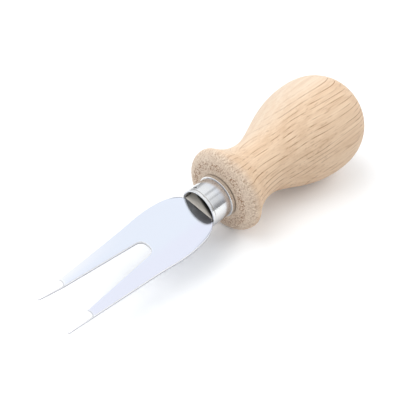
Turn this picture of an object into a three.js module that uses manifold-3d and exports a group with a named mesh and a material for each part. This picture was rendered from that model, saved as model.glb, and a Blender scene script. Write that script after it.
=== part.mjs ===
// A small two-tined serving fork: a turned wooden bulb handle, a steel ferrule with a rolled lip,
// and one flat steel stamping that makes the tines, the shoulders and the tang.
// Millimetres. Fork frame: X runs along the fork from the points (-X) to the butt (+X), X = 0 is
// the open rim of the ferrule, and Z is normal to the blade. The finished part lies at rest on
// its handle, +Z up, with its origin under the middle of its bounding box.
import * as THREE from 'three';
import { mergeVertices } from 'three/addons/utils/BufferGeometryUtils.js';
import Module from 'manifold-3d';

const wasm = await Module();
wasm.setup();

// Clearances
const FIT_GAP = 0.3; // between any two pieces that touch or are pressed together
const CUT_PAST = 1; // how far a cutting body runs past the face it cuts

// Ferrule
const FERRULE_OUTER_R = 6.7;
const FERRULE_WALL = 0.7;
const FERRULE_LENGTH = 8.7; // rim to the end of the rolled lip
const LIP_R = 7.1; // outer radius of the rolled lip
const LIP_LENGTH = 1.2; // length of the lip along the axis
const RIM_ROUND = 0.3; // rounding of the open rim
const DIMPLE_R = 0.9; // punch that makes the dimple
const DIMPLE_DEPTH = 0.35;
const DIMPLE_X = 2; // behind the open rim
const DIMPLE_AROUND = THREE.MathUtils.degToRad(57); // up from the edge of the blade on +Y

// Handle
const FACE_ROUND_R = 4.4; // how far the flat front face stops short of the collar's crest
const COLLAR_R = 14.25;
const COLLAR_ROUND_X = 3.4; // front face to the collar's crest
const NECK_R = 9.7;
const NECK_X = 12.4; // collar's crest to the neck
const BULB_R = 17.6;
const BULB_X = 31; // neck to the bulb's crest
const BUTT_X = 16.3; // bulb's crest to the butt
const TENON_LENGTH = 4.5;

// Blade
const BLADE_THICKNESS = 1.2;
const BLADE_LENGTH = 51.8; // ferrule rim to the points
const SHOULDER_HALF = 9.95; // half the widest width
const SHOULDER_X = 12; // ferrule rim to the widest width
const POINT_HALF = 6.45; // half the distance between the points
const POINT_R = 0.28; // rounding of each point
const SLOT_END_X = 19.8; // ferrule rim to the closed end of the slot
const SLOT_ROOT_HALF = 2.95;
const SLOT_HALF = 5; // half the slot's width where the points begin
const POINT_LENGTH = 7; // ground length of each point
const POINT_THICKNESS = 0.45; // what the grinding leaves at the tip
const TANG_HALF = 2.2;
const TANG_LENGTH = 28; // behind the recess
const NECK_IN_FERRULE = 3.5; // how far the full-width neck goes into the ferrule

// Rest
const BLADE_ROLL = THREE.MathUtils.degToRad(10.5); // the blade's turn about the fork's own axis
const ROUND_SEGMENTS = 48;
const FERRULE_SEGMENTS = 48;
const CURVE_STEPS = 9;

// Derived sizes
const ferruleInnerR = FERRULE_OUTER_R - FERRULE_WALL;
const tenonR = ferruleInnerR - FIT_GAP;
const faceX = FERRULE_LENGTH + FIT_GAP;
const tenonX = faceX - TENON_LENGTH;
const collarX = faceX + COLLAR_ROUND_X;
const neckX = collarX + NECK_X;
const bulbX = neckX + BULB_X;
const buttX = bulbX + BUTT_X;
const neckHalf = Math.sqrt(ferruleInnerR ** 2 - (BLADE_THICKNESS / 2) ** 2) - FIT_GAP;
const neckEndX = Math.min(NECK_IN_FERRULE, tenonX - FIT_GAP);
const tangEndX = neckEndX + TANG_LENGTH;
const facetTurn = Math.PI / ROUND_SEGMENTS; // a flat facet, not an edge, faces straight down
const restTilt = Math.atan2(BULB_R - COLLAR_R, bulbX - collarX);

function solid(geometry) {
  const bare = geometry.index ? geometry.clone() : mergeVertices(geometry);
  bare.deleteAttribute('normal');
  bare.deleteAttribute('uv');
  const merged = mergeVertices(bare, 1e-5);
  return new wasm.Manifold(
    new wasm.Mesh({
      numProp: 3,
      vertProperties: new Float32Array(merged.attributes.position.array),
      triVerts: new Uint32Array(merged.index.array),
    }),
  );
}

function geometryOf(manifold) {
  const mesh = manifold.getMesh();
  const geometry = new THREE.BufferGeometry();
  geometry.setAttribute('position', new THREE.BufferAttribute(mesh.vertProperties, 3));
  geometry.setIndex(new THREE.BufferAttribute(mesh.triVerts, 1));
  geometry.computeVertexNormals();
  return geometry;
}

function boxBetween(low, high) {
  const size = new THREE.Vector3().subVectors(high, low);
  const box = new THREE.BoxGeometry(size.x, size.y, size.z);
  const middle = new THREE.Vector3().addVectors(low, high).multiplyScalar(0.5);
  box.translate(middle.x, middle.y, middle.z);
  return box;
}

// A closed profile of (radius, x) points turned about the fork's X axis.
function turned(points, segments, start) {
  const lathe = new THREE.LatheGeometry(points, segments, start, 2 * Math.PI);
  lathe.rotateZ(-Math.PI / 2); // the lathe's own axis, +Y, becomes +X
  return lathe;
}

function bezier(a, b, c, d) {
  const curve = new THREE.CubicBezierCurve(a, b, c, d);
  return curve.getPoints(CURVE_STEPS).slice(1);
}

function profilePoint(x, radius) {
  return new THREE.Vector2(radius, x);
}

// Handle: tenon, flat front face, rounded collar, neck, bulb and butt.
function handleGeometry() {
  const crest = profilePoint(collarX, COLLAR_R);
  const faceEdge = profilePoint(faceX, COLLAR_R - FACE_ROUND_R);
  const neck = profilePoint(neckX, NECK_R);
  const bulb = profilePoint(bulbX, BULB_R);
  const profile = [
    profilePoint(tenonX, 0),
    profilePoint(tenonX, tenonR),
    profilePoint(faceX, tenonR),
    faceEdge,
    ...bezier(
      faceEdge,
      profilePoint(faceX, COLLAR_R - 0.35 * FACE_ROUND_R),
      profilePoint(collarX - 0.6 * COLLAR_ROUND_X, COLLAR_R),
      crest,
    ),
    ...bezier(
      crest,
      profilePoint(collarX + 0.03 * NECK_X, COLLAR_R),
      profilePoint(neckX - 0.58 * NECK_X, NECK_R),
      neck,
    ),
    ...bezier(
      neck,
      profilePoint(neckX + 0.27 * BULB_X, NECK_R),
      profilePoint(bulbX - 0.49 * BULB_X, BULB_R),
      bulb,
    ),
    ...bezier(
      bulb,
      profilePoint(bulbX + 0.87 * BUTT_X, BULB_R),
      profilePoint(buttX, 0.37 * BULB_R),
      profilePoint(buttX, 0),
    ),
  ];
  const body = solid(turned(profile, ROUND_SEGMENTS, facetTurn));
  const mortise = boxBetween(
    new THREE.Vector3(tenonX - CUT_PAST, -TANG_HALF - FIT_GAP, -BLADE_THICKNESS / 2 - FIT_GAP),
    new THREE.Vector3(tangEndX + FIT_GAP, TANG_HALF + FIT_GAP, BLADE_THICKNESS / 2 + FIT_GAP),
  );
  mortise.rotateX(BLADE_ROLL);
  return geometryOf(body.subtract(solid(mortise)));
}

// Ferrule: a thin tube with a rounded open rim and a rolled lip against the wood.
function ferruleGeometry() {
  const lipX = FERRULE_LENGTH - LIP_LENGTH;
  const profile = [
    profilePoint(0, ferruleInnerR + RIM_ROUND * 0.7),
    profilePoint(RIM_ROUND * 0.3, ferruleInnerR + RIM_ROUND * 0.2),
    profilePoint(RIM_ROUND, ferruleInnerR),
    profilePoint(FERRULE_LENGTH, ferruleInnerR),
    profilePoint(FERRULE_LENGTH, LIP_R - 0.25 * LIP_LENGTH),
    profilePoint(FERRULE_LENGTH - 0.2 * LIP_LENGTH, LIP_R),
    profilePoint(FERRULE_LENGTH - 0.45 * LIP_LENGTH, LIP_R),
    profilePoint(lipX + 0.25 * LIP_LENGTH, FERRULE_OUTER_R + 0.3 * (LIP_R - FERRULE_OUTER_R)),
    profilePoint(lipX, FERRULE_OUTER_R),
    profilePoint(RIM_ROUND, FERRULE_OUTER_R),
    profilePoint(RIM_ROUND * 0.3, FERRULE_OUTER_R - RIM_ROUND * 0.2),
    profilePoint(0, FERRULE_OUTER_R - RIM_ROUND * 0.7),
  ];
  profile.push(profile[0].clone());
  profile.reverse();
  const tube = solid(turned(profile, FERRULE_SEGMENTS, facetTurn));
  const punch = new THREE.SphereGeometry(DIMPLE_R, 12, 8);
  const punchAway = FERRULE_OUTER_R + DIMPLE_R - DIMPLE_DEPTH;
  punch.translate(
    DIMPLE_X,
    punchAway * Math.cos(DIMPLE_AROUND + BLADE_ROLL),
    punchAway * Math.sin(DIMPLE_AROUND + BLADE_ROLL),
  );
  return geometryOf(tube.subtract(solid(punch)));
}

// One side of the blade's outline, from the tang's end round the point to the slot's closed end.
function halfOutline() {
  const shoulderX = -SHOULDER_X;
  const pointX = -BLADE_LENGTH;
  const pointStartX = pointX + POINT_LENGTH;
  const slotX = -SLOT_END_X - SLOT_ROOT_HALF;
  const v = (x, y) => new THREE.Vector2(x, y);
  const shoulder = v(shoulderX, SHOULDER_HALF);
  const leave = v(-FIT_GAP, neckHalf);
  const outerPoint = v(pointX + POINT_R, POINT_HALF + POINT_R);
  const tip = v(pointX, POINT_HALF);
  const innerPoint = v(pointX + POINT_R, POINT_HALF - POINT_R);
  const slotWide = v(pointStartX, SLOT_HALF);
  const root = v(slotX, SLOT_ROOT_HALF);
  const slotEnd = v(-SLOT_END_X, 0);
  const roundness = 0.7 * SLOT_ROOT_HALF; // a slot end squarer than a half circle
  return [
    v(tangEndX, TANG_HALF * 0.4),
    v(tangEndX - TANG_HALF, TANG_HALF),
    v(neckEndX, TANG_HALF),
    v(neckEndX, neckHalf),
    leave,
    ...bezier(
      leave,
      v(-FIT_GAP - 0.02 * SHOULDER_X, neckHalf + 0.55 * (SHOULDER_HALF - neckHalf)),
      v(shoulderX * 0.42, SHOULDER_HALF),
      shoulder,
    ),
    ...bezier(
      shoulder,
      v(shoulderX * 1.45, SHOULDER_HALF),
      v(shoulderX * 1.6, SHOULDER_HALF - 0.18 * (SHOULDER_HALF - POINT_HALF)),
      v(shoulderX * 2, SHOULDER_HALF - 0.3 * (SHOULDER_HALF - POINT_HALF)),
    ),
    outerPoint,
    tip,
    innerPoint,
    ...bezier(
      innerPoint,
      v(pointX + 0.35 * POINT_LENGTH, SLOT_HALF + 0.45 * (POINT_HALF - SLOT_HALF)),
      v(pointStartX - 0.25 * POINT_LENGTH, SLOT_HALF + 0.06 * SLOT_HALF),
      slotWide,
    ),
    root,
    ...bezier(
      root,
      v(slotX + roundness, SLOT_ROOT_HALF),
      v(-SLOT_END_X, roundness),
      slotEnd,
    ),
  ];
}

// Blade: the tined stamping, with the upper face of each point ground down.
function bladeGeometry() {
  const half = halfOutline();
  const other = half
    .slice(0, -1)
    .reverse()
    .map((p) => new THREE.Vector2(p.x, -p.y));
  const outline = new THREE.Shape([...half, ...other]);
  const plate = new THREE.ExtrudeGeometry(outline, {
    depth: BLADE_THICKNESS,
    bevelEnabled: false,
  });
  plate.translate(0, 0, -BLADE_THICKNESS / 2);
  const fall = Math.atan2(BLADE_THICKNESS - POINT_THICKNESS, POINT_LENGTH);
  const reach = 2 * POINT_LENGTH;
  const grinding = boxBetween(
    new THREE.Vector3(-reach, -2 * SHOULDER_HALF, 0),
    new THREE.Vector3(0, 2 * SHOULDER_HALF, reach),
  );
  grinding.rotateY(-fall);
  grinding.translate(-BLADE_LENGTH + POINT_LENGTH, 0, BLADE_THICKNESS / 2);
  const ground = solid(plate).subtract(solid(grinding));
  return geometryOf(ground);
}

function piece(name, geometry, color, roughness, metalness) {
  const material = new THREE.MeshStandardMaterial({ color, roughness, metalness });
  const mesh = new THREE.Mesh(geometry, material);
  mesh.name = name;
  return mesh;
}

const handle = piece('handle', handleGeometry(), 0xe6caa0, 0.6, 0);
const ferrule = piece('ferrule', ferruleGeometry(), 0xd9dce0, 0.12, 1);
const blade = piece('fork_blade', bladeGeometry(), 0xe2e8f0, 0.22, 1);
blade.rotation.x = BLADE_ROLL;

const fork = new THREE.Group();
fork.add(handle, ferrule, blade);
fork.rotation.y = -restTilt;

const part = new THREE.Group();
part.add(fork);
part.updateMatrixWorld(true);
const box = new THREE.Box3().setFromObject(part, true);
fork.position.set(-(box.min.x + box.max.x) / 2, -(box.min.y + box.max.y) / 2, -box.min.z);

export default part;
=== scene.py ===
# %% [markdown]
# # A small two-tined serving fork
# The fork is three pieces. A wooden handle is turned to a collar, a neck and a round bulb.
# A thin steel ferrule with a short square lip sits in front of it. One flat steel stamping
# makes the two tines, the shoulders and the tang. This first cell opens the packed model,
# which fixes where every piece is, and remembers its box.

# %% Open the frame
import math

import bpy
import numpy as np
from mathutils import Matrix, Vector


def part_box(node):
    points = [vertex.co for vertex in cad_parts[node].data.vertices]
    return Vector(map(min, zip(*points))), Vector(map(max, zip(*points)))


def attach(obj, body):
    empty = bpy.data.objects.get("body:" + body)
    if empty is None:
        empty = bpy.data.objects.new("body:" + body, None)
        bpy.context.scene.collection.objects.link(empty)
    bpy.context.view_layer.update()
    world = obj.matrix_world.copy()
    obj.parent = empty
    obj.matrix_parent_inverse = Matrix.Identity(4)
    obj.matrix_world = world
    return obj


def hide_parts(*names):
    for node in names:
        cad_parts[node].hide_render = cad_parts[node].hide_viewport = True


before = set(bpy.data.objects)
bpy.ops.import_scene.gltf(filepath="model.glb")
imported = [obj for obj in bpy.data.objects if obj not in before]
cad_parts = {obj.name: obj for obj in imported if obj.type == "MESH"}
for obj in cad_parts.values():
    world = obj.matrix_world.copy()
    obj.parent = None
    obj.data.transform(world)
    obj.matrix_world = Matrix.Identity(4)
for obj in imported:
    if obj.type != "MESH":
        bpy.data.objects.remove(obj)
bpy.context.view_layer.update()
print("frame nodes:", sorted(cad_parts))

# %% [markdown]
# ## Sizes
# Millimetres, in the fork's own frame: X runs from the points to the butt, X = 0 is the open
# rim of the ferrule, and Z is normal to the blade. These repeat the driving sizes of the solid
# model, so the fine surfaces land on it. Sizes of detail that only the fine surfaces have, such
# as the scored line, come with their own piece.

# %% Sizes of the three pieces
MM = 0.001
FIT_GAP = 0.3
FERRULE_R, FERRULE_WALL, FERRULE_LENGTH = 6.7, 0.7, 8.7
LIP_R, LIP_LENGTH = 7.1, 1.2
LIP_X = FERRULE_LENGTH - LIP_LENGTH
DIMPLE_X, DIMPLE_AROUND = 2.0, math.radians(57)
FACE_ROUND, COLLAR_R, COLLAR_ROUND = 4.4, 14.25, 3.4
NECK_R, NECK_RUN = 9.7, 12.4
BULB_R, BULB_RUN, BUTT_RUN = 17.6, 31.0, 16.3
TENON_LENGTH = 4.5
BLADE_THICKNESS, BLADE_LENGTH = 1.2, 51.8
SHOULDER_HALF, SHOULDER_X = 9.95, 12.0
POINT_HALF, POINT_R, POINT_LENGTH, POINT_THICKNESS = 6.45, 0.28, 7.0, 0.45
SLOT_END, SLOT_ROOT_HALF, SLOT_HALF = 19.8, 2.95, 5.0
TANG_HALF, TANG_LENGTH, NECK_IN_FERRULE = 2.2, 28.0, 3.5
BLADE_ROLL = math.radians(10.5)

INNER_R = FERRULE_R - FERRULE_WALL
TENON_R = INNER_R - FIT_GAP
FACE_X = FERRULE_LENGTH + FIT_GAP
TENON_X = FACE_X - TENON_LENGTH
COLLAR_X = FACE_X + COLLAR_ROUND
NECK_X = COLLAR_X + NECK_RUN
BULB_X = NECK_X + BULB_RUN
BUTT_X = BULB_X + BUTT_RUN
HALF_T = BLADE_THICKNESS / 2
TANG_END = NECK_IN_FERRULE + TANG_LENGTH
GRIND_X = POINT_LENGTH - BLADE_LENGTH
NECK_HALF = math.sqrt(INNER_R**2 - HALF_T**2) - FIT_GAP
REST_TILT = math.atan2(BULB_R - COLLAR_R, BULB_X - COLLAR_X)
print("length over all, mm:", round(BLADE_LENGTH + BUTT_X, 1))

# %% [markdown]
# ## From a grid of points to a mesh
# Every piece is a surface worked out as a whole array of points. One helper joins a grid of
# rings into faces, another makes the Blender object. A closed surface must face outwards, and
# the sign of its volume says whether it does, so the faces are turned round when it is negative.

# %% Grid helpers
def bezier(a, b, c, d, count):
    """Cubic Bezier curve: (1-t)^3 a + 3 (1-t)^2 t b + 3 (1-t) t^2 c + t^3 d, for t from 0 to 1."""
    t = np.linspace(0, 1, count)[:, None]
    a, b, c, d = (np.array(p, float) for p in (a, b, c, d))
    return (1 - t) ** 3 * a + 3 * (1 - t) ** 2 * t * b + 3 * (1 - t) * t**2 * c + t**3 * d


def grid_faces(rows, columns, wrap_rows=False):
    """Quads between point (i, j) and its neighbours (i+1, j), (i+1, j+1), (i, j+1).
    The columns always close on themselves, and the rows do if wrap_rows is true."""
    i = np.arange(rows if wrap_rows else rows - 1)
    i, j = (part.ravel() for part in np.meshgrid(i, np.arange(columns), indexing="ij"))
    i2, j2 = (i + 1) % rows, (j + 1) % columns
    return np.stack([i * columns + j, i2 * columns + j, i2 * columns + j2, i * columns + j2], 1)


def merged(points, faces, step=1e-4):
    """Joins points that fall in the same cell of size step, cleans the faces' lists of points,
    and leaves out every point that no face uses."""
    _, first, back = np.unique(
        np.round(points / step).astype(np.int64), axis=0, return_index=True, return_inverse=True
    )
    back = back.ravel()
    cleaned = []
    for face in faces:
        ring = back[np.asarray(face)]
        ring = ring[ring != np.roll(ring, 1)]
        if len(ring) > 2:
            cleaned.append(ring)
    used, place_of = np.unique(np.concatenate(cleaned), return_inverse=True)
    ends = np.cumsum([len(ring) for ring in cleaned])[:-1]
    cleaned = [ring.tolist() for ring in np.split(place_of.ravel(), ends)]
    return points[first][used], cleaned


def volume(points, faces):
    """Sum over the faces' triangles of a . (b x c) / 6."""
    tri = np.array([(f[0], f[k], f[k + 1]) for f in faces for k in range(1, len(f) - 1)])
    a, b, c = points[tri[:, 0]], points[tri[:, 1]], points[tri[:, 2]]
    return float(np.einsum("ij,ij->i", a, np.cross(b, c)).sum() / 6)


# %% [markdown]
# The fork lies on its collar and its bulb, so its axis dips towards the points. The dip follows
# from the two radii, and the place follows from the handle's box in the frame.

# %% From the fork's frame to the frame of the model
def tilted(points, roll=0.0):
    """Turns by roll about X, then lets the -X end sink by the rest tilt about Y."""
    x, y, z = points.T
    y, z = y * math.cos(roll) - z * math.sin(roll), y * math.sin(roll) + z * math.cos(roll)
    c, s = math.cos(REST_TILT), math.sin(REST_TILT)
    return np.stack([x * c - z * s, y, x * s + z * c], 1)


def place(points, roll=0.0):
    """Fork-frame millimetres to model metres."""
    return tilted(points, roll) * MM + ORIGIN


def make_piece(name, points, faces, roll=0.0, marks=None):
    """A closed smooth mesh, in place, facing outwards, that stands for the node of its name.
    marks maps an attribute's name to a function of the points, in fork millimetres."""
    points, faces = merged(points, faces)
    if volume(points, faces) < 0:
        faces = [face[::-1] for face in faces]
    mesh = bpy.data.meshes.new(name + "_fine")
    mesh.from_pydata(place(points, roll).tolist(), [], faces)
    mesh.validate()
    mesh.shade_smooth()
    for label, value_of in (marks or {}).items():
        layer = mesh.attributes.new(label, "FLOAT", "POINT")
        layer.data.foreach_set("value", value_of(points).astype(np.float32))
    piece = bpy.data.objects.new(name + "_fine", mesh)
    bpy.context.scene.collection.objects.link(piece)
    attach(piece, "root")
    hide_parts(name)
    print(piece.name, len(points), "points", len(faces), "faces")
    return piece


# %% [markdown]
# ## The handle
# It is turned on a lathe, so one curve gives its whole shape: the tenon, the flat front face,
# the collar's rounded rim, the neck, the bulb and the butt. A Screw modifier could turn such a
# curve too, but the slot for the tang must be cut in the same surface. So four Bezier arcs that
# share their tangents make the curve, each of its points is carried round the axis, and the
# slot's rings are rectangles with the same number of points.

# %% The handle's curve
def handle_profile():
    """(x, radius) points from the tenon's edge to the butt."""
    face_edge = (FACE_X, COLLAR_R - FACE_ROUND)
    crest, neck, bulb = (COLLAR_X, COLLAR_R), (NECK_X, NECK_R), (BULB_X, BULB_R)
    arcs = [
        np.array([(TENON_X, TENON_R - 0.3), (TENON_X + 0.1, TENON_R - 0.08),
                  (TENON_X + 0.3, TENON_R)]),
        np.linspace((TENON_X + 0.6, TENON_R), (FACE_X - 0.02, TENON_R), 10),
        np.linspace((FACE_X, TENON_R + 0.05), face_edge, 26),
        bezier(face_edge, (FACE_X, COLLAR_R - 0.35 * FACE_ROUND),
               (COLLAR_X - 0.6 * COLLAR_ROUND, COLLAR_R), crest, 30)[1:],
        bezier(crest, (COLLAR_X + 0.03 * NECK_RUN, COLLAR_R),
               (NECK_X - 0.58 * NECK_RUN, NECK_R), neck, 40)[1:],
        bezier(neck, (NECK_X + 0.27 * BULB_RUN, NECK_R),
               (BULB_X - 0.49 * BULB_RUN, BULB_R), bulb, 52)[1:],
        bezier(bulb, (BULB_X + 0.87 * BUTT_RUN, BULB_R),
               (BUTT_X, 0.37 * BULB_R), (BUTT_X, 0), 70)[1:],
    ]
    return np.concatenate(arcs)


profile = handle_profile()
round_box = tilted(np.concatenate([
    np.stack([profile[:, 0], 0 * profile[:, 0], sign * profile[:, 1]], 1) for sign in (1, -1)
])) * MM
handle_low, handle_high = (np.array(corner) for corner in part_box("handle"))
ORIGIN = np.array([
    handle_high[0] - round_box[:, 0].max(),
    (handle_low[1] + handle_high[1]) / 2,
    handle_low[2] - round_box[:, 2].min(),
])
print("ferrule rim centre, mm:", (ORIGIN / MM).round(2))

# %% [markdown]
# Now the rings. They start at the bottom of the slot, come out of it to the tenon's end, and go
# back along the outside to the butt, so slot and turning are one closed surface with no boolean.

# %% The handle's surface
AROUND = 256
turn = np.linspace(0, 2 * math.pi, AROUND, endpoint=False)


def rectangle_radius(half_wide, half_high):
    """Distance from the centre to the edge of a rectangle in each direction round the axis."""
    return np.minimum(
        half_wide / np.maximum(np.abs(np.cos(turn)), 1e-9),
        half_high / np.maximum(np.abs(np.sin(turn)), 1e-9),
    )


def ring(x, radius):
    """Points (x, radius cos u, radius sin u) for u round the axis."""
    radius = np.broadcast_to(radius, turn.shape)
    return np.stack([np.full(AROUND, x), radius * np.cos(turn), radius * np.sin(turn)], 1)


def build_handle():
    """Rings from the slot's floor out to the tenon's end, then along the profile to the butt.
    The slot lies in the blade's plane, so the whole turning rolls with the blade."""
    slot = rectangle_radius(TANG_HALF + FIT_GAP, HALF_T + FIT_GAP)
    slot_floor = TANG_END + FIT_GAP
    rings = [ring(slot_floor, 0 * slot), ring(slot_floor, 0.5 * slot)]
    rings += [ring(x, slot) for x in np.linspace(slot_floor, TENON_X, 24)]
    edge = profile[0, 1]
    rings += [ring(TENON_X, slot + (edge - slot) * share) for share in (0.25, 0.5, 0.75)]
    rings += [ring(x, radius) for x, radius in profile]
    points = np.concatenate(rings)
    return make_piece("handle", points, grid_faces(len(rings), AROUND), BLADE_ROLL)


handle = build_handle()

# %% [markdown]
# ## The ferrule
# The ferrule is a pressed tube. Its open rim is rounded, a fine line is scored behind it, and
# its other end steps out to a short square lip that covers the joint with the wood. A tube with
# a Solidify modifier would give the wall but not the rim or the lip, so the wall's whole closed
# section is drawn and carried round the axis. A punch mark is a bell-shaped dent in it.

# %% The ferrule's closed section
GROOVE_X, GROOVE_DEPTH, GROOVE_WIDTH = 0.9, 0.05, 0.1
DIMPLE_DEPTH, DIMPLE_WIDTH = 0.34, 0.5


def ferrule_section():
    """(x, radius) points round the wall, outside from rim to lip, then back inside."""
    half_wall = FERRULE_WALL / 2
    a = np.linspace(math.pi / 2, -math.pi / 2, 15)
    mid = INNER_R + half_wall
    rim = np.stack([half_wall - half_wall * np.cos(a), mid + half_wall * np.sin(a)], 1)[::-1]
    groove_x = GROOVE_X + np.linspace(-0.3, 0.3, 13)
    groove = FERRULE_R - GROOVE_DEPTH * np.exp(-(((groove_x - GROOVE_X) / GROOVE_WIDTH) ** 2))
    outside = [
        rim,
        np.stack([groove_x, groove], 1),
        np.linspace((1.5, FERRULE_R), (LIP_X - 0.15, FERRULE_R), 22),
        bezier((LIP_X - 0.1, FERRULE_R), (LIP_X, FERRULE_R), (LIP_X, FERRULE_R + 0.05),
               (LIP_X + 0.02, LIP_R - 0.12), 8),
        bezier((LIP_X + 0.03, LIP_R - 0.1), (LIP_X + 0.05, LIP_R), (LIP_X + 0.1, LIP_R),
               (LIP_X + 0.2, LIP_R), 8),
        np.linspace((LIP_X + 0.3, LIP_R), (FERRULE_LENGTH - 0.2, LIP_R), 8),
        bezier((FERRULE_LENGTH - 0.15, LIP_R), (FERRULE_LENGTH - 0.05, LIP_R),
               (FERRULE_LENGTH, LIP_R - 0.05), (FERRULE_LENGTH, LIP_R - 0.15), 8),
        np.linspace((FERRULE_LENGTH, LIP_R - 0.3), (FERRULE_LENGTH, INNER_R + 0.1), 5),
    ]
    inside = np.linspace((FERRULE_LENGTH - 0.1, INNER_R), (half_wall + 0.1, INNER_R), 24)
    return np.concatenate(outside + [inside])


def build_ferrule():
    """The section at each angle u, as (x, radius cos u, radius sin u). The radius is less by
    DIMPLE_DEPTH exp(-(away / DIMPLE_WIDTH)^2), where away is the distance to the punch mark."""
    section = ferrule_section()
    around = 320
    u = np.linspace(0, 2 * math.pi, around, endpoint=False)
    x, radius = (np.repeat(part[:, None], around, 1) for part in section.T)
    off_round = (u[None, :] - DIMPLE_AROUND + math.pi) % (2 * math.pi) - math.pi
    away = np.hypot(x - DIMPLE_X, off_round * FERRULE_R)
    radius = radius - DIMPLE_DEPTH * np.exp(-((away / DIMPLE_WIDTH) ** 2))
    points = np.stack([x, radius * np.cos(u), radius * np.sin(u)], 2).reshape(-1, 3)
    faces = grid_faces(len(section), around, wrap_rows=True)
    return make_piece("ferrule", points, faces, BLADE_ROLL)


ferrule = build_ferrule()

# %% [markdown]
# ## The blade
# The blade is punched from 1.2 mm strip. Its outline could be extruded and bevelled, but the
# ground points need an upper face that falls away. So each half is a strip of rungs: a rung runs
# from the middle line, or from the slot's edge once the slot has begun, to the outer edge. Every
# rung carries a closed section with small rounded corners, and the upper face falls away over
# the last few millimetres of each tine, where it is ground to a point.

# %% The outline of half the blade
def outer_edge():
    """(x, y) points of the outer edge, from the tang's end to the start of the rounded tip."""
    start = (-FIT_GAP, NECK_HALF)
    widest = (-SHOULDER_X, SHOULDER_HALF)
    flare = SHOULDER_HALF - NECK_HALF
    taper = SHOULDER_HALF - POINT_HALF
    return np.concatenate([
        [(TANG_END, 0.4 * TANG_HALF), (TANG_END - TANG_HALF, TANG_HALF)],
        np.linspace((TANG_END - 4, TANG_HALF), (NECK_IN_FERRULE + 0.3, TANG_HALF), 30),
        np.linspace((NECK_IN_FERRULE, NECK_HALF), start, 12),
        bezier(start, (-FIT_GAP - 0.02 * SHOULDER_X, NECK_HALF + 0.55 * flare),
               (-0.42 * SHOULDER_X, SHOULDER_HALF), widest, 50)[1:],
        bezier(widest, (-1.45 * SHOULDER_X, SHOULDER_HALF),
               (-1.6 * SHOULDER_X, SHOULDER_HALF - 0.18 * taper),
               (-2 * SHOULDER_X, SHOULDER_HALF - 0.3 * taper), 60)[1:],
        [(-BLADE_LENGTH + POINT_R, POINT_HALF + POINT_R)],
    ])


SLOT_END_STEPS = 40


def slot_edge():
    """(x, y) points of the slot's edge, from its closed end to the start of the rounded tip."""
    root_x = -SLOT_END - SLOT_ROOT_HALF
    swell = 0.7 * SLOT_ROOT_HALF
    end_curve = bezier((root_x, SLOT_ROOT_HALF), (root_x + swell, SLOT_ROOT_HALF),
                       (-SLOT_END, swell), (-SLOT_END, 0), SLOT_END_STEPS)[::-1]
    narrowing = POINT_HALF - SLOT_HALF
    point_curve = bezier((GRIND_X, SLOT_HALF),
                         (GRIND_X - 0.25 * POINT_LENGTH, 1.06 * SLOT_HALF),
                         (-BLADE_LENGTH + 0.35 * POINT_LENGTH, SLOT_HALF + 0.45 * narrowing),
                         (-BLADE_LENGTH + POINT_R, POINT_HALF - POINT_R), 40)
    side = np.linspace((root_x, SLOT_ROOT_HALF), (GRIND_X, SLOT_HALF), 120)
    return np.concatenate([end_curve, side[1:], point_curve[1:]])


FAN_START, FAN_LAG = -8.0, 4.8


def rungs():
    """Inner and outer end of every rung; both round the tip on the same small circle.
    Ahead of the slot the rungs fan out, so that none lies along the slot's closed end."""
    outer = outer_edge()
    slot = slot_edge()

    def outer_at(x):
        return np.stack([x, np.interp(-x, -outer[:, 0], outer[:, 1])], 1)

    before = outer[outer[:, 0] > FAN_START]
    ahead = np.linspace(FAN_START - 0.3, -SLOT_END + 0.3, 36)
    lag = FAN_LAG * (FAN_START - ahead) / (FAN_START + SLOT_END)
    middle_x = np.concatenate([before[:, 0], ahead])
    steps = np.linalg.norm(np.diff(slot[:SLOT_END_STEPS], axis=0), axis=1)
    gone = np.concatenate([[0], np.cumsum(steps)]) / steps.sum()
    slot_x = slot[:, 0].copy()
    slot_x[:SLOT_END_STEPS] = (FAN_LAG - SLOT_END) * (1 - gone) + slot[SLOT_END_STEPS - 1, 0] * gone
    a = np.linspace(0, math.pi / 2, 10)[1:]
    tip_x = -BLADE_LENGTH + POINT_R - POINT_R * np.sin(a)
    tip_in = np.stack([tip_x, POINT_HALF - POINT_R * np.cos(a)], 1)
    tip_out = np.stack([tip_x, POINT_HALF + POINT_R * np.cos(a)], 1)
    return (
        np.concatenate([np.stack([middle_x, 0 * middle_x], 1), slot, tip_in]),
        np.concatenate([before, outer_at(ahead + lag), outer_at(slot_x), tip_out]),
        len(middle_x),
    )


inner_line, outer_line, slot_from = rungs()
print("rungs:", len(inner_line), "of which at the slot:", len(inner_line) - slot_from)

# %% [markdown]
# Each rung now gets its closed section. A Bevel modifier would round the edges too, but it knows
# nothing of the ground points, so the corners are small quarter circles in the section itself.
# Three marks are worked out at each point for the finish: the cut sides, the line where the
# grinding starts, and the rim of the far shoulder, which lies in the ferrule's shade.

# %% The section on each rung
GRIND_BOW, GRIND_MIDDLE, GRIND_HALF = 0.4, 6.2, 1.2


def into_metal(line, towards):
    """Unit normals of a line of points, on the side given by the sign of towards."""
    along = np.gradient(line, axis=0)
    along /= np.maximum(np.linalg.norm(along, axis=1, keepdims=True), 1e-9)
    normal = np.stack([-along[:, 1], along[:, 0]], 1)
    return normal * np.sign(towards)


def grind_start(y):
    """x of the slightly bowed line where a ground face begins: GRIND_X + bow (1 - off^2), where
    off is the distance from the tine's middle over half its width."""
    off_middle = (np.abs(y) - GRIND_MIDDLE) / GRIND_HALF
    return GRIND_X + GRIND_BOW * (1 - off_middle**2)


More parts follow.
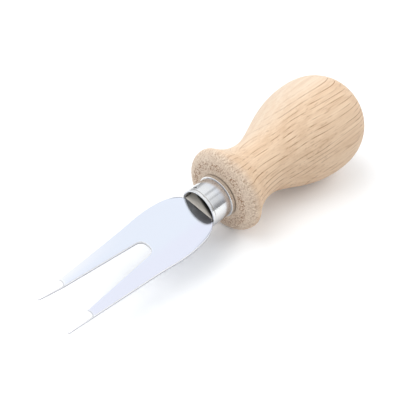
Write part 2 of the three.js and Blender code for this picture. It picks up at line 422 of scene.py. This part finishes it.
def top_height(x, y, soft=0.15):
    """Half the thickness, less the fall of the ground face. How far a point lies past the grind's
    start goes through (past + sqrt(past^2 + soft^2)) / 2, which is 0 before it without a kink."""
    past = grind_start(y) - x
    past = (past + np.sqrt(past**2 + soft**2)) / 2
    fall = (BLADE_THICKNESS - POINT_THICKNESS) / POINT_LENGTH
    return HALF_T - fall * past


def on_cut_side(points, margin=0.05):
    """1 on the punched edges, 0 on the upper and under faces, which are within the margin."""
    x, y, z = points.T
    below, above = top_height(x, y) - z, z + HALF_T
    return ((below > margin) & (above > margin)).astype(float)


def on_grind_line(points, width=0.16):
    """A narrow bell on top, where the ground faces begin: exp(-(off / width)^2)."""
    x, y, z = points.T
    return np.exp(-(((x - grind_start(y)) / width) ** 2)) * (z > HALF_T / 2)


def on_far_rim(points, width=0.2, fade_from=-4.2, fade_run=2.4):
    """1 within a width of the far shoulder's upper edge by the ferrule, and fading out along it:
    (x - fade_from) / fade_run, kept between 0 and 1."""
    x, y, z = points.T
    rim = outer_line[(outer_line[:, 0] < 0.1) & (outer_line[:, 0] > -SHOULDER_X / 2)]
    away = np.linalg.norm(points[:, None, :2] - rim[None], axis=2).min(1)
    return ((away < width) & (y > 0) & (z > 0)) * np.clip((x - fade_from) / fade_run, 0, 1)


def build_blade(corner=0.15, across=14, steps=4):
    """Closed sections: upper face, outer corner arcs, under face, inner corner arcs."""
    inner_normal = np.zeros_like(inner_line)
    inner_normal[slot_from:] = into_metal(inner_line[slot_from:], -1)
    inner_normal[slot_from] = (1, 0)
    outer_normal = into_metal(outer_line, 1)
    inner_normal[-1] = outer_normal[-1] = (1, 0)
    quarter = np.linspace(0, math.pi / 2, steps + 1)
    inset, drop = corner * (1 - np.sin(quarter)), corner * (1 - np.cos(quarter))

    share = np.linspace(0, 1, across + 1)[None, :, None]
    flat_in = (inner_line + inner_normal * corner)[:, None]
    flat_out = (outer_line + outer_normal * corner)[:, None]
    flat = flat_in + (flat_out - flat_in) * share
    side_out = outer_line[:, None] + outer_normal[:, None] * inset[None, 1:, None]
    side_in = inner_line[:, None] + inner_normal[:, None] * inset[None, 1:, None]

    def high(xy, fallen=0.0):
        return top_height(xy[..., 0], xy[..., 1]) - fallen

    def low(xy, raised=0.0):
        return np.full(xy.shape[:2], -HALF_T) + raised

    loop_xy = np.concatenate([
        flat, side_out, side_out[:, ::-1], flat[:, ::-1], side_in, side_in[:, ::-1],
    ], 1)
    loop_z = np.concatenate([
        high(flat), high(side_out, drop[1:]), low(side_out, drop[:0:-1]), low(flat),
        low(side_in, drop[1:]), high(side_in[:, ::-1], drop[:0:-1]),
    ], 1)
    points = np.concatenate([loop_xy, loop_z[..., None]], 2)
    rows, columns = points.shape[:2]
    points = points.reshape(-1, 3)
    quads = grid_faces(rows, columns)
    in_middle = (np.abs(points[quads][:, :, 1]) < 1e-6).all(1)
    quads = quads[~in_middle]
    top = np.arange(across + steps)
    under = 2 * (across + steps) + 1 - top
    end_cap = np.stack([top, top + 1, under - 1, under], 1)
    mirror = points * (1, -1, 1)
    faces = quads.tolist() + end_cap.tolist()
    faces += [[k + len(points) for k in face[::-1]] for face in faces]
    marks = {"cut_side": on_cut_side, "grind_line": on_grind_line, "far_rim": on_far_rim}
    return make_piece("fork_blade", np.concatenate([points, mirror]), faces, BLADE_ROLL, marks)


blade = build_blade()

# %% [markdown]
# ## Writing a shader as arithmetic
# A finish is a chain of small sums. Written node by node it would fill pages, so a wrapper lets
# each value be written as an expression, and the operators add the Math nodes.

# %% A value in a shader
class Val:
    """A socket of one node tree, with + - * / ** that add Math nodes."""

    def __init__(self, shader, socket):
        self.shader, self.socket = shader, socket

    def math(self, operation, *others, clamp=False):
        values = dict(enumerate((self, *others)))
        return self.shader.node("ShaderNodeMath", values, operation=operation, use_clamp=clamp)

    def __add__(self, other):
        return self.math("ADD", other)

    __radd__ = __add__

    def __sub__(self, other):
        return self.math("SUBTRACT", other)

    def __rsub__(self, other):
        return (self * -1) + other

    def __mul__(self, other):
        return self.math("MULTIPLY", other)

    __rmul__ = __mul__

    def __truediv__(self, other):
        return self.math("DIVIDE", other)

    def __pow__(self, other):
        return self.math("POWER", other)

    def clamped(self):
        """The value kept between 0 and 1."""
        return self.math("ADD", 0.0, clamp=True)


print("operators of a value:", [name for name in vars(Val) if name.startswith("__")])

# %% [markdown]
# The second class holds one set of nodes. Its methods are the few patterns that the finishes
# use: the fork's own coordinates, stretched noise, smooth bands, a mix of two colours and a bump.

# %% The nodes of a finish
class Shader:
    """The nodes of one material, or of the world."""

    def __init__(self, owner):
        owner.use_nodes = True
        self.owner, self.tree = owner, owner.node_tree
        self.bsdf = self.tree.nodes.get("Principled BSDF")

    def node(self, kind, inputs=None, output=0, **settings):
        """Adds a node, makes its settings, feeds its inputs, and returns one output."""
        made = self.tree.nodes.new(kind)
        for key, value in settings.items():
            setattr(made, key, value)
        for key, value in (inputs or {}).items():
            self.feed(made.inputs[key], value)
        return Val(self, made.outputs[output])

    def feed(self, socket, value):
        """Links a value, or sets a number or a colour."""
        if isinstance(value, Val):
            self.tree.links.new(value.socket, socket)
        else:
            socket.default_value = value

    def set(self, **values):
        """Feeds the surface's own sockets, with _ for each space in a name."""
        for key, value in values.items():
            self.feed(self.bsdf.inputs[key.replace("_", " ")], value)

    def fork_place(self, roll=0.0):
        """Object coordinates turned back into the fork's own frame, in millimetres."""
        where = self.node("ShaderNodeTexCoord", output=3)
        return self.node(
            "ShaderNodeMapping",
            {"Vector": where, "Location": ORIGIN.tolist(), "Rotation": (roll, -REST_TILT, 0),
             "Scale": (MM, MM, MM)},
            vector_type="TEXTURE",
        )

    def parts(self, vector):
        """The x, y and z of a vector."""
        split = self.node("ShaderNodeSeparateXYZ", {0: vector}).socket.node
        return [Val(self, socket) for socket in split.outputs]

    def noise(self, vector, scale, detail=2.0, rough=0.5):
        """Smooth noise from about 0 to 1, with that many finer layers."""
        layers = {"Vector": vector, "Scale": scale, "Detail": detail, "Roughness": rough}
        return self.node("ShaderNodeTexNoise", layers)

    def stretched(self, vector, scale):
        """The vector times a scale for each axis: a small scale draws noise out along it."""
        return self.node("ShaderNodeVectorMath", {0: vector, 1: scale}, operation="MULTIPLY")

    def band(self, value, low, high):
        """0 below low, 1 above high, a smooth step between."""
        return self.node(
            "ShaderNodeMapRange", {"Value": value, "From Min": low, "From Max": high},
            interpolation_type="SMOOTHSTEP",
        )

    def between(self, value, rise, full, still_full, fallen):
        """0 below rise, 1 from full to still_full, 0 above fallen, with smooth steps."""
        return self.band(value, rise, full) * (1 - self.band(value, still_full, fallen))

    def mix(self, share, a, b):
        """The colour a (1 - share) + b share."""
        return self.node("ShaderNodeMix", {0: share, 6: a, 7: b}, output=2, data_type="RGBA")

    def distance(self, a, b=(0, 0, 0)):
        """The length of a - b."""
        return self.node("ShaderNodeVectorMath", {0: a, 1: b}, output=1, operation="DISTANCE")

    def ray_kinds(self):
        """1 on camera rays and 1 on glossy rays, as two values."""
        path = self.tree.nodes.new("ShaderNodeLightPath")
        return [Val(self, path.outputs[kind]) for kind in ("Is Camera Ray", "Is Glossy Ray")]

    def mark(self, name):
        """A number that a piece carries on its points."""
        return self.node("ShaderNodeAttribute", output=2, attribute_name=name)

    def bump(self, height, strength, distance):
        """A normal tilted by the slope of the height, which is worth distance metres at 1."""
        heights = {"Height": height, "Strength": strength, "Distance": distance}
        return self.node("ShaderNodeBump", heights)


def new_finish(name):
    """A new material with its nodes."""
    return Shader(bpy.data.materials.new(name))


def colour(red, green, blue):
    """An sRGB colour, 0 to 255, as linear red, green, blue and alpha."""
    c = np.array([red, green, blue]) / 255
    linear = np.where(c <= 0.04045, c / 12.92, ((c + 0.055) / 1.055) ** 2.4)
    return (*linear.tolist(), 1.0)


# %% [markdown]
# ## Wood
# The wood is a pale open-pored hardwood. A flat picture of grain wrapped round the turning would
# stretch at the bulb, so its look is solid, running through the whole block: rings round a pith
# that lies outside the turning, fine fibre along the axis, and long open pores that show as dark
# dashes on the sides and as dots on the collar's end grain. Stretching three-dimensional noise
# along the axis gives all three from one block.

# %% The wood's finish
PITH_TURN, PITH_AWAY = math.radians(37), 62.0
RING_PITCH, FINE_RING_PITCH, RING_WANDER = 1.5, 0.63, 7.0


def wood():
    """Rings: the fraction of (distance to the pith + noise) / pitch, shown as a dark line near 1.
    Fibre and pores: noise many times longer along the axis than across it."""
    s = new_finish("pale_turned_wood")
    p = s.fork_place()
    x, y, z = s.parts(p)
    radius = (y * y + z * z) ** 0.5
    wander = s.noise(s.stretched(p, (0.014, 0.05, 0.05)), 1.0, 2.0)
    far_y, far_z = PITH_AWAY * math.cos(PITH_TURN), PITH_AWAY * math.sin(PITH_TURN)
    ring_y, ring_z = y + far_y, z + far_z
    distance = (ring_y * ring_y + ring_z * ring_z) ** 0.5 + wander * RING_WANDER
    ring = (distance / RING_PITCH).math("FRACT")
    fine_ring = (distance / FINE_RING_PITCH + wander * 3.0).math("FRACT")
    line = s.between(ring, 0.80, 0.91, 0.93, 1.0)
    fine_line = s.between(fine_ring, 0.55, 0.82, 0.85, 1.0)
    flank = y * math.cos(PITH_TURN) + z * math.sin(PITH_TURN)
    quarter = 1 - s.band(flank / (radius * 0.55 + 7.5), 0.30, 0.88)
    broken = s.band(s.noise(s.stretched(p, (0.03, 0.38, 0.38)), 1.0, 3.0, 0.6), 0.41, 0.60)
    fibre = s.noise(s.stretched(p, (0.05, 2.6, 2.6)), 1.0, 4.0, 0.6)
    streak = s.noise(s.stretched(p, (0.018, 0.55, 0.55)), 1.0, 3.0, 0.55)
    speckle = s.noise(s.stretched(p, (0.8, 2.4, 2.4)), 1.0, 3.0, 0.7)
    pore = s.band(s.noise(s.stretched(p, (0.03, 2.0, 2.0)), 1.0, 1.0, 0.4), 0.62, 0.73)
    dot = s.band(s.noise(s.stretched(p, (0.5, 2.1, 2.1)), 1.0, 2.0, 0.6), 0.47, 0.62)
    face = 1 - s.band(x, FACE_X + 0.9, COLLAR_X + 0.6)
    inner_band = s.between(radius + wander * 3.0, 9.9, 10.7, 12.4, 13.4)
    outer_band = s.band(radius, 12.6, 13.3) * 0.5
    # The paler flat-sawn colour is grain, and it also paints the sheen of the upper far flank,
    # which faces the key lamp.
    flat = s.mix(s.band(streak, 0.3, 0.72), colour(250, 230, 207), colour(243, 217, 190))
    sawn = s.mix(s.band(streak, 0.3, 0.72), colour(243, 214, 183), colour(229, 196, 163))
    grain_and_sheen_tone = s.mix(quarter, flat, sawn)
    ringed = s.mix(fine_line * (0.08 + quarter * 0.20), grain_and_sheen_tone, colour(214, 178, 142))
    fibred = s.mix(s.band(fibre, 0.42, 0.78) * 0.26, ringed, colour(212, 177, 143))
    speckled = s.mix(s.band(speckle, 0.45, 0.75) * 0.16, fibred, colour(206, 172, 140))
    rough = s.mix(s.band(speckle, 0.40, 0.62), colour(248, 231, 212), colour(214, 190, 167))
    greyed = s.mix(face * 0.75, speckled, rough)
    side_dark = line * broken * (0.10 + quarter * 0.85) + pore * (0.08 + quarter * 0.20)
    face_dark = dot * face * (0.20 + inner_band * 0.70 + outer_band * 0.6)
    dark = side_dark * (1 - face * 0.7) + face_dark
    pored = s.mix(dark.clamped(), greyed, colour(160, 113, 76))
    # Painted shade: a thin ring of the collar's face round the lip is painted darker, as the shadow
    # in the gap between lip and wood.
    joint = face * (1 - s.band(radius, LIP_R - 0.1, LIP_R + 0.3))
    # Painted shade: the tenon inside the ferrule is painted near black, as the shade within the
    # bore.
    tenon_in_shade = 1 - s.band(x, FACE_X - 0.5, FACE_X - 0.3)
    lip_ring_shaded = s.mix(joint * 0.45, pored, colour(112, 94, 80))
    s.set(Base_Color=s.mix(tenon_in_shade, lip_ring_shaded, colour(46, 40, 36)))
    s.set(Roughness=(0.54 + fibre * 0.12 + dark * 0.2).clamped())
    height = fibre * 0.20 - side_dark * 0.6 - dot * face * 0.5 - speckle * (0.10 + face * 0.5)
    s.set(Normal=s.bump(height, 0.45, 0.00022))
    return s.owner


turned_wood = wood()
print(turned_wood.name, len(turned_wood.node_tree.nodes), "nodes")

# %% [markdown]
# ## Polished steel
# The ferrule is drawn and polished, so it is almost a mirror with faint drawing lines round it.
# A plain metal shader would mirror the room and no more. Masks along the axis and round it add
# painted shade in the crease by the lip, in the scored line and in the punch mark, painted shade
# on the low side, a painted highlight on the lip, and a grey bore.

# %% The ferrule's finish
DIMPLE_SIDE = (FERRULE_R * math.cos(DIMPLE_AROUND), FERRULE_R * math.sin(DIMPLE_AROUND))
DIMPLE_MIDDLE = (DIMPLE_X, *DIMPLE_SIDE)


def polished_steel():
    """Bright outside; painted shade in the lip's crease, the scored line, the pressed dot and the
    low side; a painted highlight on the lip; a dull bore.
    """
    s = new_finish("polished_ferrule_steel")
    p = s.fork_place(BLADE_ROLL)
    x, y, z = s.parts(p)
    bore = 1 - s.band((y * y + z * z) ** 0.5, INNER_R + 0.02, INNER_R + 0.12)
    on_lip = s.band(x, LIP_X - 0.04, LIP_X)
    crease = s.band(x, LIP_X - 0.32, LIP_X - 0.08) * (1 - on_lip)
    smear = s.noise(p, 0.35, 3.0, 0.6)
    drawn = s.noise(s.stretched(p, (9.0, 0.5, 0.5)), 1.0, 2.0)
    pressed = 1 - s.band(s.distance(p, DIMPLE_MIDDLE), 0.30, 0.85)
    near_groove = (GROOVE_X + step for step in (-0.20, -0.02, 0.02, 0.20))
    scored = s.between(x, *near_groove) * s.band(z, 1.0, 4.0)
    bright = s.mix(smear, colour(230, 230, 229), colour(242, 242, 241))
    # By the wood the metal mirrors its tan, and a cooler grey there keeps it looking like steel.
    by_wood = s.band(x, 3.0, 6.8) * (1 - on_lip)
    # Painted shade: the ferrule is painted darker towards its low side.
    under = 1 - s.band(z, -1.0, 4.6)
    cooled = s.mix(by_wood * 0.6, bright, colour(214, 220, 232))
    low_side_shaded = s.mix(under * 0.8, cooled, colour(196, 198, 201))
    # Painted highlight: the lip is painted lighter than the tube.
    lip_highlighted = s.mix(on_lip * 0.6, low_side_shaded, colour(236, 234, 232))
    # Painted shade: the crease by the lip, the scored line on the upper side and the punch mark are
    # painted dark.
    painted_shade_marks = (crease * 0.8 + pressed * 0.95 + scored * 0.45).clamped()
    with_painted_shade = s.mix(painted_shade_marks, lip_highlighted, colour(84, 80, 76))
    s.set(Base_Color=s.mix(bore, with_painted_shade, colour(196, 193, 187)), Metallic=1 - bore * 0.7)
    s.set(Roughness=0.11 + smear * 0.07 + drawn * 0.04 + bore * 0.2)
    s.set(Normal=s.bump(drawn, 0.06, 0.00005))
    return s.owner


ferrule_steel = polished_steel()
print(ferrule_steel.name, len(ferrule_steel.node_tree.nodes), "nodes")

# %% [markdown]
# ## Satin steel
# The blade is tumbled bright after it is punched. A punched edge is smooth above, where the metal
# sheared, and rough and darker below, where it tore, and a darker line marks where the points
# were ground. Painting these by place alone would miss the slot's curve, so the mesh carries
# marks on its points, made with the surface, and the finish reads them as attributes. The sheared
# band, the ground tips and the far edge carry a painted white highlight.

# %% The blade's finish
def satin_steel():
    """Bright outside, with painted white highlights on the sheared band, the ground tips and the
    far edge, a neck inside the ferrule painted lit tan with a painted shadow, torn low on the cut
    sides.
    """
    s = new_finish("satin_blade_steel")
    p = s.fork_place(BLADE_ROLL)
    x, y, z = s.parts(p)
    brushed = s.noise(s.stretched(p, (0.12, 7.0, 7.0)), 1.0, 3.0, 0.6)
    patch = s.noise(p, 0.12, 2.0)
    side, ground, far_rim = s.mark("cut_side"), s.mark("grind_line"), s.mark("far_rim")
    torn = side * (1 - s.band(z, -0.28, 0.04))
    sheared = side * (1 - torn)
    tipped = 1 - s.band(x, GRIND_X - 0.3, GRIND_X + 1.2)
    hidden = s.band(x, -0.02, 0.06)
    # Painted reflection: the near side of the blade gets a slightly different tint from the far
    # side.
    near = s.band(y * -1, 1.5, 5.5)
    even = s.mix(near, colour(236, 241, 250), colour(236, 238, 249))
    # Painted highlight: the sheared band, the ground tips and the far edge are painted near white.
    far_edge = s.band(y, 4.2, 8.2) * (1 - s.band(x, -46.0, -20.0))
    edge_highlighted = s.mix((sheared + tipped + far_edge * 0.85).clamped(), even, colour(254, 254, 255))
    lined = s.mix(ground * 0.5 + far_rim * 0.8, edge_highlighted, colour(130, 134, 140))
    middle = 1 - s.band(y.math("ABSOLUTE"), 3.0, 4.0)
    closed_end = s.between(x, -24.0, -22.0, -19.0, -18.0) * middle
    burr = s.mix(closed_end, colour(140, 136, 146), colour(92, 88, 92))
    edged = s.mix(torn * 0.85, lined, burr)
    # Painted light and shade: the neck inside the ferrule is painted a lit matte tan, with a
    # painted shadow crescent where the rim keeps the light off.
    shade = s.band(x - y * 0.33, 1.5, 2.6)
    neck_lit_and_shadowed = s.mix(shade, colour(230, 223, 213), colour(40, 38, 36))
    s.set(Base_Color=s.mix(hidden, edged, neck_lit_and_shadowed))
    s.set(Metallic=(1 - side * 0.6) * (1 - hidden))
    s.set(Roughness=(0.07 + brushed * 0.05 + patch * 0.04 + torn * 0.35 + hidden * 0.45).clamped())
    s.set(Normal=s.bump(brushed, 0.04, 0.00005))
    return s.owner


blade_steel = satin_steel()
print(blade_steel.name, len(blade_steel.node_tree.nodes), "nodes")

# %% Each piece gets its finish
for piece, slot, finish in (
    (handle, "turned_wood", turned_wood),
    (ferrule, "polished_ferrule", ferrule_steel),
    (blade, "satin_blade", blade_steel),
):
    piece.data.materials.append(finish)
    print(piece.name, "wears", finish.name)


# %% [markdown]
# ## Floor, light and camera
# The fork lies on a plain white sheet. The sheet gives back a little light of its own to the
# camera and to polished metal, so it reads as white, while the part of its brightness that
# comes from the lamps still carries the fork's shadow.

# %% The floor
FLOOR_HALF = 3.0
NEAR_GLOW, FAR_GLOW, NEAR_R, FAR_R = 0.07, 0.5, 0.2, 0.9


def build_floor():
    """A square at Z = 0. Its own light, NEAR_GLOW near the fork and FAR_GLOW more from NEAR_R to
    FAR_R metres away, is seen by the camera and in polished metal only."""
    h = FLOOR_HALF
    corners = [(-h, -h, 0), (h, -h, 0), (h, h, 0), (-h, h, 0)]
    mesh = bpy.data.meshes.new("floor")
    mesh.from_pydata(corners, [], [(0, 1, 2, 3)])
    floor = bpy.data.objects.new("floor", mesh)
    bpy.context.scene.collection.objects.link(floor)
    s = new_finish("white_sheet")
    camera_ray, glossy_ray = s.ray_kinds()
    seen = camera_ray.math("MAXIMUM", glossy_ray)
    s.set(Base_Color=s.mix(seen, (0.78, 0.78, 0.78, 1), (1, 1, 1, 1)), Roughness=0.9)
    s.bsdf.inputs["Specular IOR Level"].default_value = 0.0
    s.bsdf.inputs["Emission Strength"].default_value = 1.0
    away = s.distance(s.node("ShaderNodeTexCoord", output=3))
    glow = seen * (NEAR_GLOW + s.band(away, NEAR_R, FAR_R) * FAR_GLOW)
    s.set(Emission_Color=s.mix(glow, (0, 0, 0, 1), (1, 1, 1, 1)))
    mesh.materials.append(s.owner)
    return floor


print("floor of", 2 * FLOOR_HALF, "m:", build_floor().name)

# %% [markdown]
# The light is a white tent with two soft lamps. A tent's white walls and dark gaps are what
# polished metal mirrors, so the world shows glossy rays its own dome: greyer low down, with dark
# cards beyond the butt that draw lines along the ferrule, and a bright roof that whitens the
# flat blade. Real card planes would shade the wood too, and this way they don't.

# %% The lights
DOME_LIGHT = 0.76


def build_world():
    """White to the camera; to everything else a dome that is greyer low down, as a tent is.
    A card is a band of the angle round the fork's axis, atan2(height, across)."""
    world = bpy.data.worlds.new("studio")
    s = Shader(world)
    seen, shiny = s.ray_kinds()
    along, across, height = s.parts(s.node("ShaderNodeTexCoord", output=0))
    up = s.band(height, 0.02, 0.62)
    round_x = height.math("ARCTAN2", across)
    cards = (
        (1 - s.band(round_x, 0.35, 0.60)) * 0.30
        + s.between(round_x, 1.38, 1.50, 1.58, 1.72) * 0.55
        + s.between(round_x, 2.00, 2.08, 2.16, 2.26) * 0.36
        + s.band(round_x, 1.72, 2.00) * 0.14
        + s.band(round_x, 2.22, 2.34) * 0.12
        + s.band(round_x, 2.55, 2.90) * 0.28
    ) * s.band(along, 0.36, 0.46)
    overhead = s.band(height, 0.82, 0.90) * (1 - s.band(along, 0.0, 0.08))
    veil = s.band(height, 0.82, 0.90) * s.band(across, 0.26, 0.33) * (1 - s.band(along, 0.02, 0.26))
    dome = s.mix(up, (0.40, 0.42, 0.44, 1), (0.94, 0.97, 1.0, 1))
    even = s.mix(up, (0.52, 0.53, 0.55, 1), (0.96, 0.98, 1.02, 1))
    brighter = s.mix((overhead + veil * 0.55).clamped(), even, (1.22, 1.22, 1.22, 1))
    gloss = s.mix(cards, brighter, (0.08, 0.08, 0.09, 1))
    light = s.mix(seen, s.mix(shiny, dome, gloss), (1, 1, 1, 1))
    background = s.tree.nodes["Background"]
    s.feed(background.inputs["Color"], light)
    strength = seen.math("MAXIMUM", shiny).math("MAXIMUM", DOME_LIGHT)
    s.feed(background.inputs["Strength"], strength)
    bpy.context.scene.world = world


def softbox(name, spot, side, watts):
    """A square lamp at spot, turned to the origin and hidden from mirror-like reflections."""
    lamp = bpy.data.lights.new(name, "AREA")
    lamp.shape, lamp.size, lamp.energy = "SQUARE", side, watts
    holder = bpy.data.objects.new(name, lamp)
    holder.location = spot
    holder.rotation_euler = (-Vector(spot)).to_track_quat("-Z", "Y").to_euler()
    holder.visible_glossy = False
    bpy.context.scene.collection.objects.link(holder)
    print(name, watts, "W,", side, "m wide")


build_world()
softbox("key_softbox", (-0.30, 0.29, 0.78), 0.75, 3.5)
softbox("fill_softbox", (0.50, -0.30, 0.55), 0.6, 1.6)

# %% [markdown]
# The camera looks down on the points from in front and to the side, close enough that the fork
# narrows towards the butt. Its turn comes from the line between its spot and its aim.

# %% The camera
LENS, SENSOR = 47.12, 36.0
CAMERA_SPOT = Vector((-0.09692, -0.08928, 0.11877))
CAMERA_AIM = Vector((-0.00630, -0.00036, 0.012))
CAMERA_ROLL = math.radians(0.22)


def build_camera():
    """Its -Z axis along aim - spot, then a small roll about that axis."""
    camera = bpy.data.cameras.new("camera")
    camera.sensor_width, camera.lens, camera.clip_start = SENSOR, LENS, 0.01
    holder = bpy.data.objects.new("camera", camera)
    turn_to = (CAMERA_AIM - CAMERA_SPOT).to_track_quat("-Z", "Y").to_matrix().to_4x4()
    roll = Matrix.Rotation(CAMERA_ROLL, 4, "Z")
    holder.matrix_world = Matrix.Translation(CAMERA_SPOT) @ turn_to @ roll
    bpy.context.scene.collection.objects.link(holder)
    bpy.context.scene.camera = holder


build_camera()
print("camera", round((CAMERA_AIM - CAMERA_SPOT).length, 3), "m from its aim")
bpy.context.scene.view_settings.view_transform = "Standard"

# %% [markdown]
